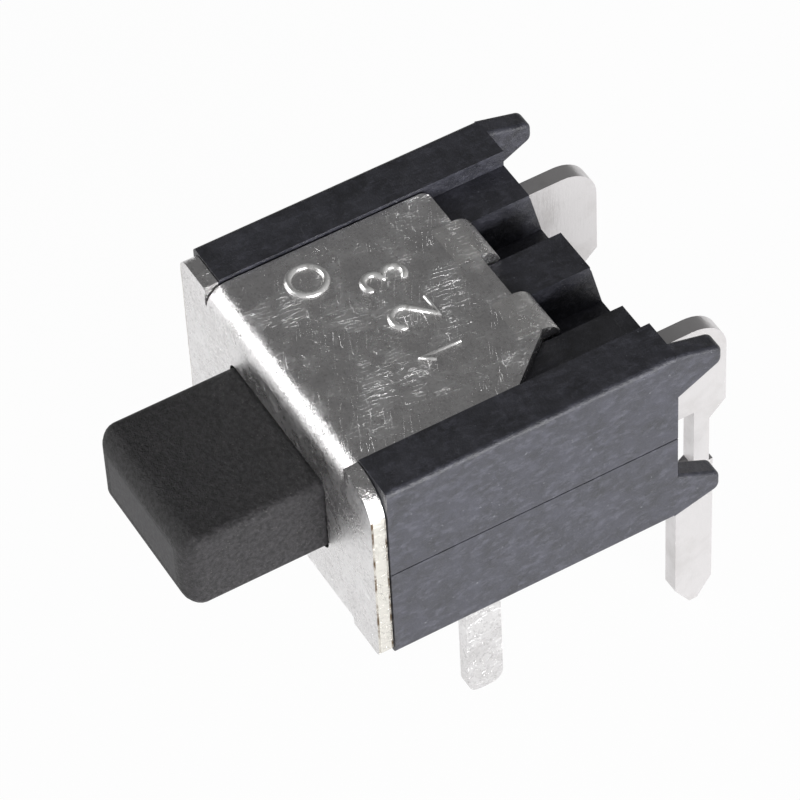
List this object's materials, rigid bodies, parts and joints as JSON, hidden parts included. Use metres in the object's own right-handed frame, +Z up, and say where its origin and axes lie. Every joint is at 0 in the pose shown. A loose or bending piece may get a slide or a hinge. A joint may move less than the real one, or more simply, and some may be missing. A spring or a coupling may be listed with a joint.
{
  "type": "pushbutton switch",
  "caption": "Right-angle subminiature pushbutton switch with a folded sheet frame, a sprung rectangular button, terminals with board pins and bent-down support legs.",
  "frame": {"origin": "on the board plane under the housing, at mid-width, level with the housing's front face", "axes": "+Z up from the board, +Y towards the terminals (the button points to -Y and is pressed towards +Y), +X to the side with the chamfered tab corner"},
  "size_m": [0.0078, 0.0124, 0.0098],
  "materials": {
    "housing": "moulded, fine grain",
    "frame": "plated sheet, lightly scratched",
    "plunger": "moulded, coarse grain",
    "terminals": "tin plated",
    "seal": "cured resin",
    "contact_bridge": "rolled",
    "springs": "drawn wire"
  },
  "bodies": {
    "base": {"housing": "housing", "frame": "frame", "terminal_common": "terminals", "terminal_normally_closed": "terminals", "terminal_normally_open": "terminals", "seal": "seal", "return_spring": "springs"},
    "button": {"plunger": "plunger", "contact_bridge": "contact_bridge", "contact_spring_left": "springs", "contact_spring_right": "springs"}
  },
  "joints": [
    {"name": "button_press", "type": "slide", "parent": "base", "child": "button", "axis": [0, 1, 0], "range_m": [0, 0.0014], "stiffness_N_per_m": 400, "springref_m": -0.001, "deforming": ["return_spring"]}
  ]
}
